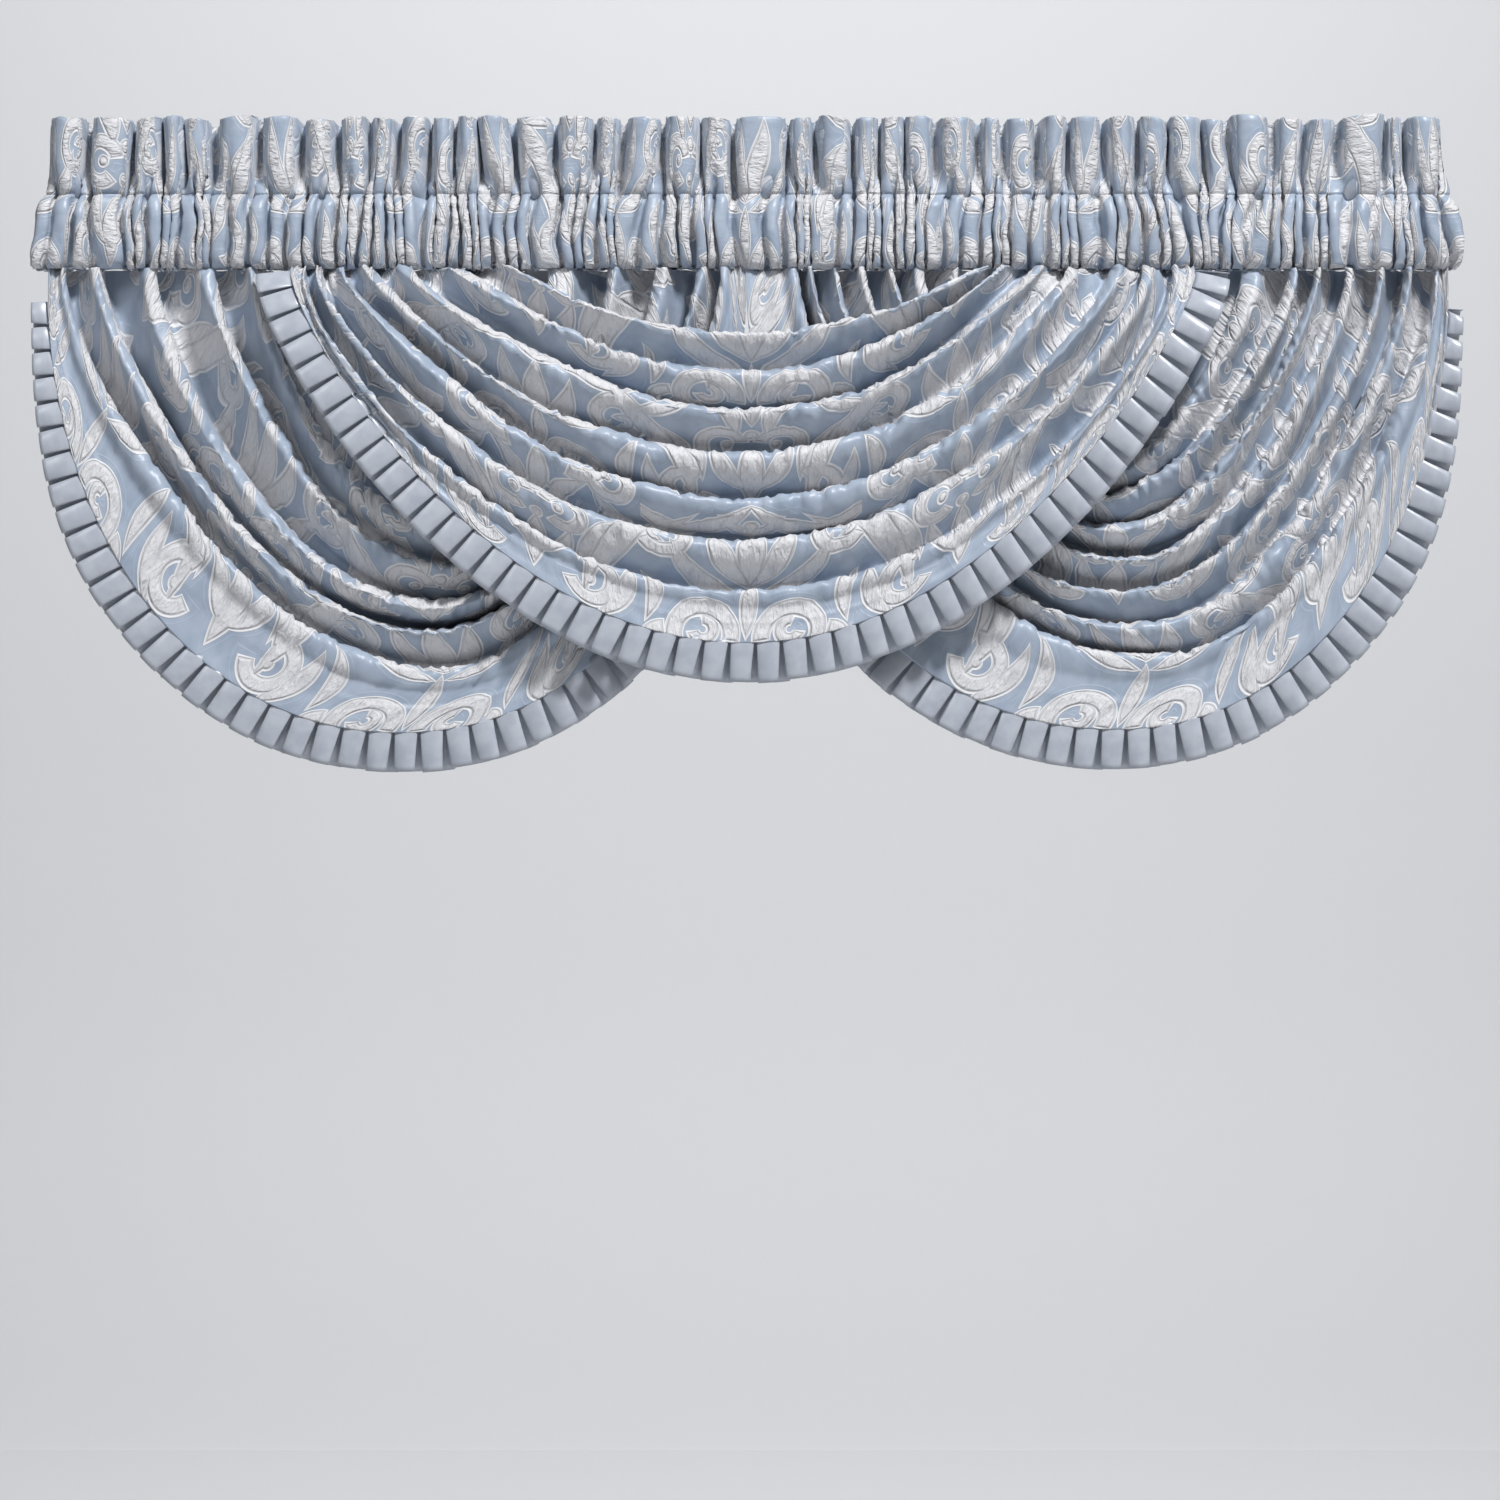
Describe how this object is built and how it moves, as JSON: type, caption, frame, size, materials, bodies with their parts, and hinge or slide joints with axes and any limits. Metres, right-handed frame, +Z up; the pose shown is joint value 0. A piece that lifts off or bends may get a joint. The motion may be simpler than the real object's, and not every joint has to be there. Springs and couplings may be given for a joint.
{
  "type": "waterfall valance",
  "caption": "Waterfall valance with a gathered rod-pocket heading, three overlapping draped damask swags and knife-pleated satin trims.",
  "frame": {"origin": "the middle of the heading's top edge, where the valance hangs", "axes": "+X to the right along the rod seen from the front, +Y from the front to the wall, +Z up"},
  "size_m": [1.3732, 0.0716, 0.6206],
  "materials": {
    "heading_cloth": "silver-white damask on a pale blue satin ground",
    "left_swag_cloth": "silver-white damask on a pale blue satin ground",
    "centre_swag_cloth": "silver-white damask on a pale blue satin ground",
    "right_swag_cloth": "silver-white damask on a pale blue satin ground",
    "left_trim_satin": "plain grey-blue satin",
    "centre_trim_satin": "plain grey-blue satin",
    "right_trim_satin": "plain grey-blue satin"
  },
  "bodies": {
    "root": {"heading_band": "heading_cloth", "left_swag": "left_swag_cloth", "centre_swag": "centre_swag_cloth", "right_swag": "right_swag_cloth", "left_trim": "left_trim_satin", "centre_trim": "centre_trim_satin", "right_trim": "right_trim_satin"}
  },
  "joints": []
}
